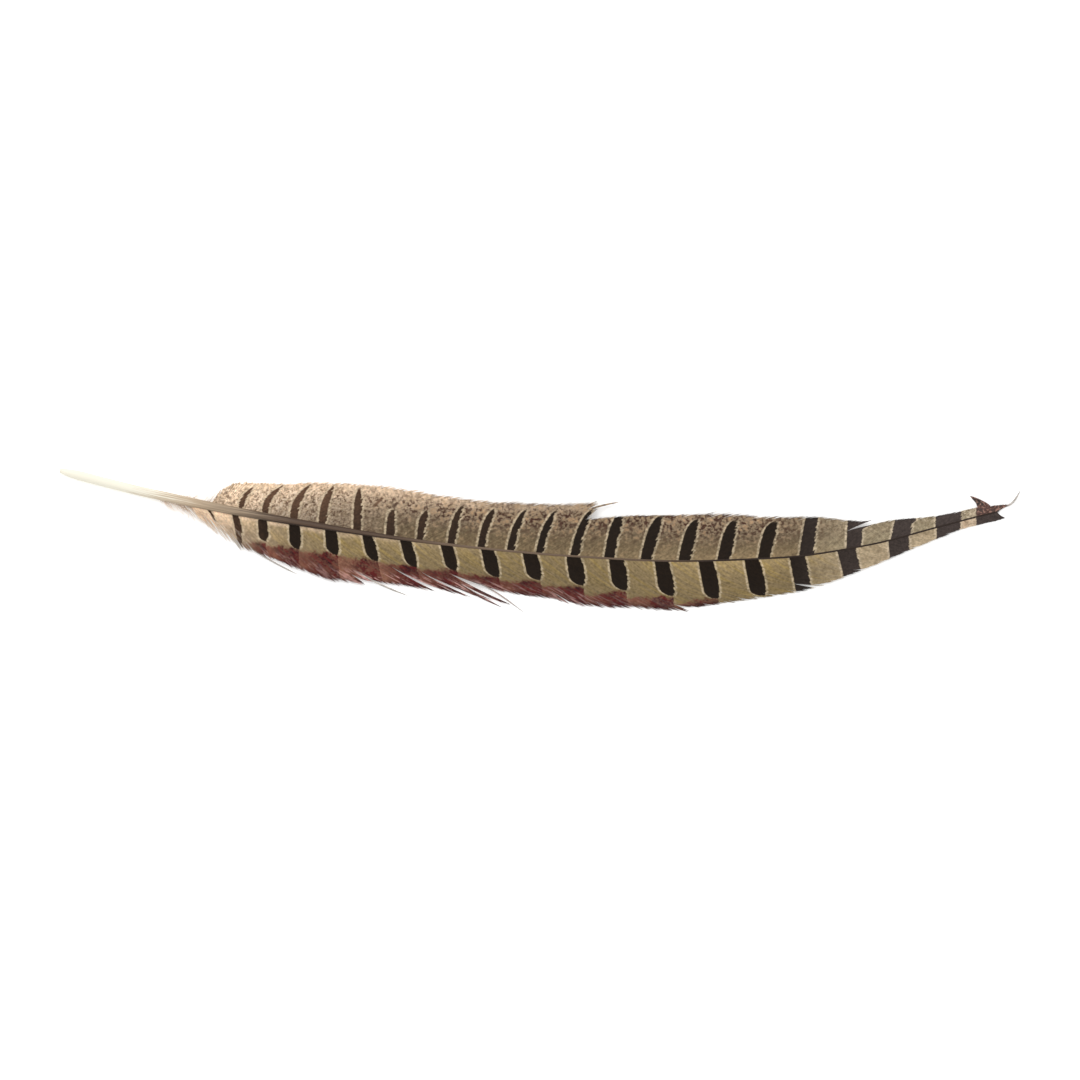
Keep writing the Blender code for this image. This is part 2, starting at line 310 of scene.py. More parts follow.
# %% Drawing barbs out into strands
STRAND_LEAVES = 0.86  # the share of the vane where a strand leaves it
STAGGERED = 3  # so many barbs in turn end ever shorter
STRAND_STAGGER = 0.07  # how much shorter each of them is than the one before
STRAND_JITTER = 0.02
STRAND_HEADING = 0.4  # the share of its reach over which a strand keeps its barbs' heading
STRAND_BREADTH = 1.3
STRAND_POINT = 0.3  # the room that is left at the tip
STAIN_LEAD = 0.16  # how far inside the vane its stain begins
MANY_BARBS = 8  # a strand of more barbs than this stays closed where it turns


def spaced_out(line, shares, steps):
    """A line of points read again at even shares of its own length."""
    lengths = np.concatenate(([0], np.cumsum(np.linalg.norm(np.diff(line, axis=0), axis=1))))
    at = steps * lengths[-1]
    points = np.stack([np.interp(at, lengths, line[:, axis]) for axis in range(3)], axis=-1)
    return points, np.interp(at, lengths, shares)


def draw_out(side, roots, points, shares, room, chance):
    """Runs the barbs of each loose strand on to its tip, and says how they are stained."""
    steps = np.linspace(0, 1, STEPS)
    stain = np.zeros_like(shares)
    for vane, first, last, tip, bow, shade in STRANDS:
        if vane != side:
            continue
        members = np.flatnonzero((roots[:, 0] >= first) & (roots[:, 0] <= last))
        for order, i in enumerate(members):
            kept = shares[i] < STRAND_LEAVES
            line, crossed = points[i, kept], shares[i, kept]
            leaving = line[-1]
            heading = unit(line[-1] - line[-2])
            short = STRAND_STAGGER * (order % STAGGERED) + STRAND_JITTER * chance.random()
            end = leaving + (np.array(tip) - leaving) * (1 - short)
            reach = np.linalg.norm(end - leaving)
            side_step = np.array((leaving[1] - end[1], end[0] - leaving[0], 0)) / reach
            bend = leaving + heading * reach * STRAND_HEADING + side_step * bow * side
            t = steps[1:, None]
            curve = leaving * (1 - t) ** 2 + bend * 2 * t * (1 - t) + end * t * t
            line = np.concatenate((line, curve))
            crossed = np.concatenate((crossed, np.linspace(crossed[-1], 1.0, STEPS)[1:]))
            points[i], shares[i] = spaced_out(line, crossed, steps)
            stain[i] = shade * ease(shares[i], STRAND_LEAVES - STAIN_LEAD, STRAND_LEAVES)
            slimming = ease(shares[i], STRAND_LEAVES, 1.0)
            room[i] = room[i] * STRAND_BREADTH * (1 - slimming) + STRAND_POINT * slimming
        if len(members) > MANY_BARBS:
            spread, _ = lie_of_barbs(points[members])
            room[members] = np.maximum(room[members], spread * STRAND_BREADTH)
    return stain


# %% [markdown]
# ## Where the bars lie
#
# Each vane has its own row of dark bars, about a centimetre apart. A bar crosses all the
# barbs and leans forward with them. Read at the shaft, the bars stand at plain distances
# along it. Out on the vane, a point is carried back to the shaft along the bars' lean, and
# a smooth count of bars is read there: 0 on the first bar, and 0.5 halfway to the second.
#
# The count is stored, and not the distance to the nearest bar, because a count changes
# evenly from point to point. The material takes its fraction and has the distance.

# %% The bars' places, lean and width
BARS = {
    UPPER: (
        -93.7, -86.2, -77.2, -68.2, -57.4, -47.1, -37.6, -27.9, -18.5, -9.3, -0.2, 10.8, 21.7, 33.3,
        45.3, 57.6, 70.3, 83.6, 98.6, 113.2, 128.5, 145.0,
    ),
    LOWER: (
        -104.8, -95.9, -87.3, -77.3, -65.9, -54.4, -42.4, -29.5, -16.6, -3.4, 10.5, 23.8, 38.1, 51.9,
        66.4, 80.8, 96.2, 112.6, 128.5, 145.0,
    ),
}
# How far a bar leans forward for each millimetre of vane that it crosses.
LEAN = {
    UPPER: (
        (-94, 0.6), (-86, 0.52), (-77, 0.4), (-68, 0.26), (-57, 0.04), (-47, 0.18), (-28, 0.3),
        (0, 0.39), (11, 0.37), (22, 0.27), (33, 0.34), (45, 0.29), (70, 0.26), (84, 0.17), (98, 0.06),
        (113, 0.25), (128, 0), (150, 0),
    ),
    LOWER: (
        (-105, 0.65), (-96, 0.15), (-87, 0.02), (-77, 0.02), (-66, 0.08), (-54, 0.25), (-42, 0.27),
        (-29, 0.24), (-3, 0.22), (11, 0.14), (24, 0.15), (38, 0.17), (52, 0.2), (66, 0.2), (81, 0.2),
        (96, 0.26), (113, 0.08), (128, 0), (150, 0),
    ),
}
# How much of the lean waits for the outer part of the vane.
LATE_LEAN = {
    UPPER: ((-94, 1.6), (-60, 1.2), (-30, 0.8), (20, 0.6), (100, 0.3), (150, 0.3)),
    LOWER: ((-104, 0.1), (150, 0.1)),
}
LEAN_ROUNDS = 8  # the lean belongs to the bar's foot, which is found by trying again
TRY_SHARES = (0.3, 0.7)  # what a round keeps of the last try, and takes from the new one
BAR_WIDTH = {
    UPPER: (
        (-95, 1.1), (-86, 1.8), (-77, 2.2), (-57, 2.4), (-28, 2.1), (0, 2.1), (11, 2.5), (22, 3.2),
        (45, 3.7), (70, 3.8), (84, 4.5), (98.6, 4.6), (113, 6.0), (126, 8.2), (133, 8.2), (137, 15.4),
        (150, 15.4),
    ),
    LOWER: (
        (-104, 1.0), (-96, 2.1), (-87, 2.8), (-77, 3.2), (-66, 3.4), (-54, 3.2), (-42, 3.4), (-29, 3.6),
        (-16, 4.1), (11, 4.5), (38, 4.4), (66, 4.6), (81, 4.9), (96, 5.6), (113, 6.4), (126, 7.4),
        (133, 7.4), (137, 15.4), (150, 15.4),
    ),
}
# The share of the vane where the bars stop.
BAR_REACH = {
    UPPER: (
        (-98, -0.3), (-96, 0.95), (-60, 0.93), (-52, 0.9), (-47, 0.55), (-42, 0.62), (-35, 0.66),
        (-28, 0.84), (0, 0.86), (14, 0.86), (64, 0.86), (75, 0.92), (80, 1.3), (150, 1.3),
    ),
    LOWER: (
        (-107, -0.3), (-105, 0.5), (-100, 0.7), (-96, 0.95), (-87, 0.58), (-77, 0.55), (-66, 0.5),
        (-54, 0.52), (-42, 0.56), (-29, 0.55), (-16, 0.61), (11, 0.59), (24, 0.64), (39, 0.71),
        (53, 0.86), (68, 0.95), (74, 1), (80, 1.3), (150, 1.3),
    ),
}
# How much of a bar's width is gone by its outer end.
BAR_NARROWING = {
    UPPER: (
        (-94, 0.5), (-60, 0.5), (-28, 0.4), (0, 0.35), (65, 0.35), (70, 0.25), (84, 0.15), (95, 0),
        (150, 0),
    ),
    LOWER: (
        (-104, 0.4), (-95, 0.2), (-88, 0), (-60, -0.1), (-30, 0), (85, 0), (96, -0.15), (113, -0.1),
        (130, 0),
    ),
}
# Along the outermost barbs of the upper vane the last bars run forward into a short flag.
FLAG = ((88, 0), (95, 1.6), (103, 2.6), (108, 1.0), (115, 1.4), (120, 0))
FLAG_SHARES = (0.66, 0.92)


def read_at_shaft(side, x, shares):
    """The place on the shaft where a point's bar starts."""
    width = along(VANE_WIDTH[side], x)
    kept, taken = TRY_SHARES
    foot = x
    for _ in range(LEAN_ROUNDS):
        bent = shares - along(LATE_LEAN[side], foot) * shares * (1 - shares)
        foot = kept * foot + taken * (x - along(LEAN[side], foot) * width * bent)
    return foot


def bar_count(side, at_shaft):
    """The smooth count of bars at a place on the shaft, and the room from bar to bar."""
    bars = np.array(BARS[side])
    steps = np.diff(bars)
    i = np.clip(np.searchsorted(bars, at_shaft, side="right") - 1, 0, len(steps) - 1)
    return i + (at_shaft - bars[i]) / steps[i], steps[i]


# %% [markdown]
# ## What else changes over a vane
#
# Between the bars the upper vane is speckled, most of all in its outer half, and it pales
# to cream at the foot. The lower vane is plain buff with a red fringe, which deepens from
# each bar to the next. Most of these are strengths from 0 to 1, drawn along the feather
# and across the vane, and stored on every point for the materials to read. Three curves
# more give each vane painted light and shade, which make its ground lighter or darker.

# %% Strengths of cream, speckle and fringe, and the painted light and shade
CREAM_INNER = {
    UPPER: ((-105, 1), (-85, 0.92), (-60, 0.45), (-47, 0.1), (-36, 0), (130, 0)),
    LOWER: (
        (-108, 1), (-98, 0.8), (-90, 0.45), (-78, 0.1), (-60, 0), (129, 0), (134, 0.9), (150, 0.9),
    ),
}
CREAM_OUTER = {
    UPPER: (
        (-105, 1), (-75, 0.9), (-60, 0.75), (-30, 0.5), (0, 0.25), (60, 0.3), (95, 0.1), (130, 0),
    ),
    LOWER: (
        (-108, 1), (-98, 0.9), (-88, 0.5), (-76, 0.15), (-60, 0.05), (129, 0), (134, 0.9), (150, 0.9),
    ),
}
OUTER_SHARES = (0.2, 0.7)  # across these, the outer strengths take over from the inner
# The lower vane is pale beside the shaft: how strongly, and how far out from its side.
SHAFT_RIM = ((-100, 1), (-60, 0.8), (-35, 0.3), (-10, 0))
SHAFT_RIM_FADES = (0.3, 1.3)
# The outermost barb ends of the upper vane are pale too, and hardly speckled.
PALE_RIM = ((-105, 0.9), (-30, 0.9), (0, 0.6), (20, 0.5), (40, 0.2), (80, 0))
PALE_RIM_SHARES = (0.7, 0.94)
PALE_RIM_HIDES = 0.6
SPECKLE_INNER = (
    (-105, 0.6), (-88, 0.8), (-70, 0.8), (-45, 0.4), (-20, 0.22), (60, 0.12), (130, 0.2), (140, 0.8),
)
SPECKLE_OUTER = (
    (-105, 0.6), (-88, 0.85), (-75, 0.95), (-50, 1), (-20, 1), (60, 1), (88, 0.6), (105, 0.3),
    (130, 0.3), (134, 0.8), (150, 0.8),
)
FINE_SPECKLE = ((-100, 1), (-70, 0.8), (-45, 0.2), (-20, 0), (60, 0), (100, 0.5), (130, 1))
TIP_PALENESS = ((80, 0), (98, 0.8), (110, 1), (150, 1))
# Where the dark of the tip is mottled with rust and painted peach highlights, and where the fringe has
# painted pink highlights.
RUST_AND_HIGHLIGHT_PLACES = {
    UPPER: ((132, 0), (138, 0.9), (150, 0.9)),
    LOWER: (
        (-92, 0), (-84, 0.35), (-66, 0.3), (-52, 1), (-16, 0.8), (-4, 0.35), (6, 0.6), (20, 0.3),
        (50, 0),
    ),
}
# Painted light and shade: how light the ground is painted beside the shaft, halfway out and at the
# margin.
PAINTED_LIGHT_BESIDE_SHAFT = {
    UPPER: (
        (-104, 0.75), (-97, 0.95), (-84, 0.8), (-70, 0.75), (-50, 0.95), (-30, 1.17), (0, 1.17),
        (64, 1.4), (85, 1.25), (102, 1.03),
    ),
    LOWER: (
        (-108, 1.35), (-93, 1.35), (-80, 1.07), (-35, 1.04), (20, 1), (60, 1.2), (91, 1.05), (104, 1),
    ),
}
PAINTED_LIGHT_HALFWAY = {
    UPPER: (
        (-104, 1), (-97, 1.18), (-84, 1), (-70, 0.9), (-50, 0.87), (-30, 0.87), (0, 0.95), (64, 0.89),
        (85, 0.93), (102, 1),
    ),
    LOWER: (
        (-108, 1.27), (-102, 1.2), (-93, 0.9), (-80, 0.95), (-35, 0.92), (5, 0.9), (60, 0.97),
        (91, 0.9), (104, 1),
    ),
}
PAINTED_LIGHT_AT_MARGIN = {
    UPPER: ((-104, 1.07), (-84, 1.22), (-50, 1.14), (-30, 1.07), (0, 0.94), (64, 1.02), (102, 1)),
    LOWER: ((-108, 0.95), (-93, 0.84), (-80, 0.94), (-35, 0.94), (60, 0.88), (91, 0.96), (104, 1)),
}
HALFWAY = 0.5
# Past the margin the painted light fades out.
PAST_MARGIN = 0.25  # a barb that ran so far past the margin would have no light left
SCREEN_GAMMA = 2.2  # from a share of a screen colour to a share of its light
# One short stray mark lies between two bars of the upper vane, from one point to another.
STRAY_MARK = np.array(((-52.3, 10.4), (-49.3, 13.5)))
# The fringe: its strength, its start, and how much later and rosier it is just after a bar.
FRINGE = {
    "red": ((-100, 0), (-92, 0.6), (-86, 1), (40, 1), (56, 0.8), (68, 0)),
    "red_start": (
        (-98, 0.8), (-87, 0.62), (-77, 0.52), (-66, 0.47), (-54, 0.48), (-42, 0.53), (-29, 0.51),
        (-16, 0.59), (11, 0.62), (24, 0.65), (39, 0.72), (53, 0.85), (68, 1),
    ),
    "red_delay": ((-98, 0.02), (-60, 0.05), (-20, 0.09), (11, 0.13), (25, 0.14), (68, 0.12)),
    "rosiness": (
        (-95, 0.7), (-82, 0.75), (-74, 0.65), (-68, 0.7), (-65, 1), (-54, 1), (-44, 0.6), (-15, 0.55),
        (0, 0.45), (16, 0.5), (30, 1), (60, 1),
    ),
}
BAR_BROWN = {
    UPPER: ((-95, 1), (-70, 0.85), (-57, 0.5), (-45, 0.35), (-25, 0.2), (0, 0)),
    LOWER: ((-104, 0.8), (-92, 0.4), (-80, 0), (0, 0)),
}
BROWN_OUTWARDS = 0.9  # how much a bar's brown grows from its foot to its end
BAR_PLUM = ((75, 0), (98, 0.6), (118, 0.85), (130, 1))
NARROWING_SHARES = (0.6, 1.0)  # of the way along a bar
LEAST_REACH = 0.3
TOOTH_BARBS = (1, 4)  # a tooth is at least one barb wide, and less than four
LONGEST_TOOTH = 1.6


def painted_light_and_shade(side, x, shares):
    """The painted light and shade: the share of its light that the ground keeps at each point."""
    out = np.clip(shares / HALFWAY, 0, 1)
    edge = np.clip((shares - HALFWAY) / (1 - HALFWAY), 0, 1)
    kept = along(PAINTED_LIGHT_BESIDE_SHAFT[side], x) * (1 - out) + along(PAINTED_LIGHT_HALFWAY[side], x) * (out - edge)
    kept = kept + along(PAINTED_LIGHT_AT_MARGIN[side], x) * edge
    return (kept * np.clip(1 - (shares - 1) / PAST_MARGIN, 0, 1)) ** SCREEN_GAMMA


def read_stray_mark(points):
    """How far each point lies past the middle of the stray mark, and beside its line."""
    start, end = STRAY_MARK
    heading = unit(end - start)
    offset = points[..., :2] - (start + end) / 2
    return offset @ heading, offset @ np.array((-heading[1], heading[0]))


def place_values(side, points, shares, roots, stain, chance):
    """Every value that the colours read, for each point of each barb."""
    x = points[..., 0]
    at_shaft = read_at_shaft(side, x, shares)
    count, room = bar_count(side, at_shaft)
    reach = along(BAR_REACH[side], at_shaft)
    narrow = ease(shares / np.maximum(reach, LEAST_REACH), *NARROWING_SHARES)
    narrow = along(BAR_NARROWING[side], at_shaft) * narrow
    outer = ease(shares, *OUTER_SHARES)
    barbs = len(roots)
    teeth = np.repeat(chance.standard_normal(barbs), chance.integers(*TOOTH_BARBS, barbs))
    brown = along(BAR_BROWN[side], x)
    values = dict(
        root=roots, crossed=shares, stain=stain,
        bar_count=count, bar_room=room, bar_reach=reach, bar_plum=along(BAR_PLUM, x),
        bar_half=along(BAR_WIDTH[side], at_shaft) / 2 * (1 - narrow),
        bar_brown=np.clip(brown + brown * BROWN_OUTWARDS * (shares - 0.5), 0, 1),
        teeth=np.clip(teeth[:barbs, None], -LONGEST_TOOTH, LONGEST_TOOTH),
        # The stored light is painted light and shade, a share of the ground's colour.
        tone=chance.standard_normal((barbs, 1)), light=painted_light_and_shade(side, x, shares),
        rust_and_highlights=along(RUST_AND_HIGHLIGHT_PLACES[side], x), tip_pale=along(TIP_PALENESS, x),
    )
    if side == UPPER:
        rim = along(PALE_RIM, x) * ease(shares, *PALE_RIM_SHARES)
        speckle = along(SPECKLE_INNER, x) * (1 - outer) + along(SPECKLE_OUTER, x) * outer
        values["speckle"] = speckle * (1 - PALE_RIM_HIDES * rim)
        values["fine"] = along(FINE_SPECKLE, x)
        values["past_mark"], values["beside_mark"] = read_stray_mark(points)
        values["bar_flag"] = along(FLAG, at_shaft) * ease(shares, *FLAG_SHARES)
    else:
        past_shaft = shares * along(VANE_WIDTH[side], x) - along(SHAFT_RADIUS, x)
        rim = along(SHAFT_RIM, x) * (1 - ease(past_shaft, *SHAFT_RIM_FADES))
        values.update({key: along(table, at_shaft) for key, table in FRINGE.items()})
    cream = along(CREAM_INNER[side], x) * (1 - outer) + along(CREAM_OUTER[side], x) * outer
    values["cream"] = cream + (1 - cream) * rim
    return values


# %% [markdown]
# ## Nodes from expressions
#
# The strands' shape and the colours are both made with node trees. Built node by node they
# are hard to read, so a small class wraps a socket: arithmetic on it adds the Math nodes,
# and `1 - mask` reads as it would on paper. A second class holds one tree and adds any
# other node.

# %% A socket that does arithmetic, and a bench that adds nodes
class Reading:
    """A socket of a tree that can be used in a Python expression."""

    def __init__(self, bench, socket):
        self.bench = bench
        self.socket = socket

    def math(self, operation, *others):
        values = dict(enumerate((self, *others)))
        return self.bench.add("ShaderNodeMath", values, operation=operation)

    def __add__(self, other):
        return self.math("ADD", other)

    def __sub__(self, other):
        return self.math("SUBTRACT", other)

    def __mul__(self, other):
        return self.math("MULTIPLY", other)

    def __truediv__(self, other):
        return self.math("DIVIDE", other)

    def __rsub__(self, other):
        return self.bench.add("ShaderNodeMath", {0: other, 1: self}, operation="SUBTRACT")

    __radd__ = __add__
    __rmul__ = __mul__

    def rise(self, start, end):
        """0 up to `start`, 1 from `end` on, and a smooth rise between them."""
        values = {"Value": self, "From Min": start, "From Max": end}
        return self.bench.add("ShaderNodeMapRange", values, interpolation_type="SMOOTHSTEP")


class Bench:
    """Adds nodes to one tree."""

    def __init__(self, tree):
        self.tree = tree

    def feed(self, socket, value):
        if isinstance(value, Reading):
            self.tree.links.new(value.socket, socket)
        else:
            socket.default_value = value

    def node(self, kind, values=None, **settings):
        """A new node, its settings made first and its sockets then fed."""
        node = self.tree.nodes.new(kind)
        for name, value in settings.items():
            setattr(node, name, value)
        for key, value in (values or {}).items():
            if not isinstance(key, int):
                named = [key in (s.identifier, s.name) and s.enabled for s in node.inputs]
                key = named.index(True)
            self.feed(node.inputs[key], value)
        return node

    def add(self, kind, values=None, out=None, **settings):
        """A new node's output: the one named `out`, or the first that is in use."""
        node = self.node(kind, values, **settings)
        return Reading(self, next(s for s in node.outputs if s.enabled and out in (None, s.name)))

    def stored(self, name):
        """A value that the mesh's points carry."""
        if self.tree.type == "GEOMETRY":
            return self.add("GeometryNodeInputNamedAttribute", {"Name": name}, data_type="FLOAT")
        return self.add("ShaderNodeAttribute", out="Fac", attribute_name=name)

    def vector(self, x, y, z=0.0):
        return self.add("ShaderNodeCombineXYZ", {"X": x, "Y": y, "Z": z})

    def noise(self, scale, detail=2.0, place=None, distortion=0.0):
        """A noise read at `place`, or else where the point lies on its object."""
        place = place or self.add("ShaderNodeTexCoord", out="Object")
        values = {"Vector": place, "Scale": scale, "Detail": detail, "Distortion": distortion}
        return self.add("ShaderNodeTexNoise", values, out="Fac")

    def blend(self, first, second, share):
        """The first colour where share is 0 and the second where it is 1."""
        values = {"Factor": share, "A": first, "B": second}
        return self.add("ShaderNodeMix", values, data_type="RGBA")

    def shade(self, colour, roughness, specular):
        """Feeds the shader of a material."""
        shader = self.tree.nodes["Principled BSDF"]
        self.feed(shader.inputs["Base Color"], colour)
        self.feed(shader.inputs["Roughness"], roughness)
        shader.inputs["Specular IOR Level"].default_value = specular
        return shader


# %% [markdown]
# ## Sweeping a strand along each line
#
# Barbs, loose strands and down are all the same thing to a modeller: a strand that follows
# a line and thins out to its tip. Hair curves would draw them, but they have no mesh that
# can leave Blender. So one Geometry Nodes tree turns the lines into curves and sweeps a
# section along each, as wide as the line says and rolled with the slope of its vane, so
# that neighbouring barbs overlap like shingles.

# %% The sweeping tree
def sweeping_tree():
    tree = bpy.data.node_groups.new("strand_sweeper", "GeometryNodeTree")
    sockets = (
        ("Lines", "NodeSocketGeometry"), ("Sides", "NodeSocketInt"),
        ("Flatness", "NodeSocketFloat"), ("Material", "NodeSocketMaterial"),
    )
    for name, kind in sockets:
        tree.interface.new_socket(name, in_out="INPUT", socket_type=kind)
    tree.interface.new_socket("Strands", in_out="OUTPUT", socket_type="NodeSocketGeometry")
    bench = Bench(tree)
    given = bench.node("NodeGroupInput")
    lines, sides, flatness, material = (Reading(bench, given.outputs[i]) for i in range(4))

    def step(shape, kind, values, **settings):
        return bench.add("GeometryNode" + kind, {0: shape, **values}, **settings)

    curves = step(lines, "MeshToCurve", {})
    curves = step(curves, "SetCurveNormal", {}, mode="Z_UP")
    curves = step(curves, "SetCurveTilt", {"Tilt": bench.stored("roll")})
    section = bench.add("GeometryNodeCurvePrimitiveCircle", {"Resolution": sides, "Radius": 1.0})
    section = step(section, "Transform", {"Scale": bench.vector(1.0, flatness, 1.0)})
    turn = {"Name": "turn", "Value": bench.add("GeometryNodeInputIndex") / sides}
    section = step(section, "StoreNamedAttribute", turn, data_type="FLOAT", domain="POINT")
    sweep = {"Profile Curve": section, "Scale": bench.stored("half_width"), "Fill Caps": True}
    strands = step(curves, "CurveToMesh", sweep)
    strands = step(strands, "SetShadeSmooth", {"Shade Smooth": True})
    strands = step(strands, "RealizeInstances", {})
    strands = step(strands, "SetMaterial", {"Material": material})
    bench.node("NodeGroupOutput", {0: strands})
    return tree


SWEEPER = sweeping_tree()
SWEEPER_INPUTS = {s.name: s.identifier for s in SWEEPER.interface.items_tree if s.in_out == "INPUT"}
print("the sweeper takes", sorted(SWEEPER_INPUTS))


# %% From lines to a mesh
def put(name, data):
    """A new object in the scene."""
    thing = bpy.data.objects.new(name, data)
    bpy.context.scene.collection.objects.link(thing)
    return thing


def store(mesh, key, value):
    """Gives each point of a mesh its value."""
    layer = mesh.attributes.new(key, "FLOAT", "POINT")
    layer.data.foreach_set("value", value.astype(np.float32).ravel())


def swept(name, points, values, **inputs):
    """One mesh object with a strand along every line of points, laid out on its map."""
    count, steps = points.shape[:2]
    order = np.arange(count * steps).reshape(count, steps)
    edges = np.stack((order[:, :-1], order[:, 1:]), axis=-1)
    lines = bpy.data.meshes.new(name + "_lines")
    lines.from_pydata((points * MM).reshape(-1, 3), edges.reshape(-1, 2), [])
    own = {"strand": np.arange(count)[:, None], "place": np.linspace(0, 1, steps)}
    for key, value in {**values, **own}.items():
        store(lines, key, np.broadcast_to(value, (count, steps)))
    guides = put(name + "_lines", lines)
    sweep = guides.modifiers.new("Sweep", "NODES")
    sweep.node_group = SWEEPER
    for label, value in inputs.items():
        sweep[SWEEPER_INPUTS[label]] = value
    evaluated = guides.evaluated_get(bpy.context.evaluated_depsgraph_get())
    mesh = bpy.data.meshes.new_from_object(evaluated)
    mesh.name = name
    bpy.data.objects.remove(guides, do_unlink=True)
    lay_out_map(mesh, count)
    mesh.calc_loop_triangles()
    print(name, "has", count, "strands and", len(mesh.loop_triangles), "triangles")
    return put(name, mesh)


# %% [markdown]
# ## A map for the strands
#
# A baked picture of the colours needs every strand to have its own patch of the map. The
# strands already know how far along and how far round each point lies, so they are laid
# side by side like the slats of a blind, in a few rows that fill the square.

# %% Slats of a blind
MAP_ROWS = 5
SLAT_ROOM = 0.94  # the rest of a slat's room is left clear


def lay_out_map(mesh, strands):
    """Adds a UV map in which each strand is one upright slat."""
    loops = np.empty(len(mesh.loops), np.int32)
    mesh.loops.foreach_get("vertex_index", loops)
    first = np.empty(len(mesh.polygons), np.int32)
    mesh.polygons.foreach_get("loop_start", first)

    def read(name):
        layer = np.empty(len(mesh.vertices), np.float32)
        mesh.attributes[name].data.foreach_get("value", layer)
        return layer[loops].astype(float)

    turn, strand, place = read("turn"), np.rint(read("strand")), read("place")
    sizes = np.diff(np.append(first, len(loops)))
    widest = np.repeat(np.maximum.reduceat(turn, first), sizes)
    turn = np.where(widest - turn > 0.5, turn + 1, turn)
    in_row = math.ceil(strands / MAP_ROWS)
    u = (strand % in_row + turn * SLAT_ROOM) / in_row
    v = (strand // in_row + place * SLAT_ROOM) / MAP_ROWS
    layer = mesh.uv_layers.new(name="OFBake")
    layer.data.foreach_set("uv", np.stack((u, v), axis=-1).astype(np.float32).ravel())


# %% [markdown]
# ## Colours
#
# A feather's colours are a few pigments laid over each other, so a small palette is
# enough: creams and buffs for the ground, a near black for the bars, and a wine red for
# the fringe, with a pink and a peach that are painted highlights. They are written as a
# painter would pick them on a screen, and turned into the linear values that light works with.

# %% The palette
def linear(red, green, blue):
    """A screen colour, 0 to 255, as linear light."""
    def one(value):
        value /= 255
        return value / 12.92 if value <= 0.04045 else ((value + 0.055) / 1.055) ** 2.4
    return one(red), one(green), one(blue), 1.0


BUFF = linear(151, 131, 95)
BUFF_GOLD = linear(164, 140, 84)
BUFF_GREY = linear(134, 117, 88)
OLIVE = linear(110, 95, 71)
OLIVE_DEEP = linear(96, 80, 58)
CREAM = linear(214, 188, 160)
CREAM_LIGHT = linear(246, 228, 205)
CREAM_SHADE = linear(184, 158, 128)
TIP_GROUND = {UPPER: linear(160, 146, 119), LOWER: linear(196, 176, 145)}
TIP_SHADE = {UPPER: linear(122, 108, 84), LOWER: linear(150, 130, 102)}
HALO = linear(210, 192, 162)
SPECKLE_LIGHT = linear(194, 157, 120)
SPECKLE_DARK = linear(70, 38, 29)
SPECKLE_BROWN = linear(104, 77, 59)
BLACK = linear(33, 23, 14)
BROWN = linear(98, 72, 54)
PLUM = linear(76, 66, 62)
WINE = linear(98, 34, 32)
WINE_DEEP = linear(54, 22, 24)
ROSE = linear(154, 110, 88)
# Painted highlight: the pink glints along the red fringe's hairs.
PINK_HIGHLIGHT = linear(212, 164, 156)
RUST = linear(106, 76, 68)
# Painted highlight: the peach glints on the dark of the tip.
PEACH_HIGHLIGHT = linear(178, 138, 122)
ASH = linear(205, 198, 190)
IVORY = linear(243, 238, 221)
HORN = linear(78, 59, 46)
HORN_DARK = linear(46, 34, 27)
HORN_GREY = linear(116, 97, 80)
HORN_TAN = linear(194, 172, 145)
TAN = linear(225, 204, 184)


def new_material(name):
    material = bpy.data.materials.new(name)
    material.use_nodes = True
    return material, Bench(material.node_tree)


# %% [markdown]
# ## The barbs' material
#
# One recipe paints both vanes. It reads the stored values of each barb and asks, in turn:
# what is the ground here, is it speckled, how much painted light and shade does it take, is
# this the edge of a bar or the bar itself, and is this the red fringe. A bar's far edge is
# toothed, because neighbouring barbs laid the dark pigment down for a little longer or
# shorter, and both edges have a pale line. The fringe and the tip also carry painted highlights.

# %% The bars of a vane
EDGE_SOFTNESS = 0.14
TOOTH = {UPPER: (0.07, 0.22), LOWER: (0.05, 0.13)}  # at the near edge and at the far edge
HALO_WIDTH = 0.95
HALO_STRENGTH = {UPPER: (0.66, 0.58), LOWER: (0.7, 0.7)}  # at the near edge and at the far edge
HALO_CHANGES = 0.1  # how near to a bar's middle one strength gives way to the other
HALO_PAST_END = 0.15  # what is left of the halo beyond the bar's end
HALO_DULLED = 0.2  # what a plum bar takes from it
BOOT = {UPPER: (0.16, 0.4), LOWER: (0.18, 0.65)}  # how long, and how far the near edge swings
SWELL = {UPPER: 0.3, LOWER: 1.1}  # how much the far edge bulges halfway along a bar
SWELL_ENDS = (0.9, 1.2)  # bars that cross the whole vane don't swell
TUCK = {UPPER: 0.1, LOWER: 0.2}  # how much the far edge draws in at the bar's end
END_SOFTNESS = {UPPER: 0.05, LOWER: 0.018}


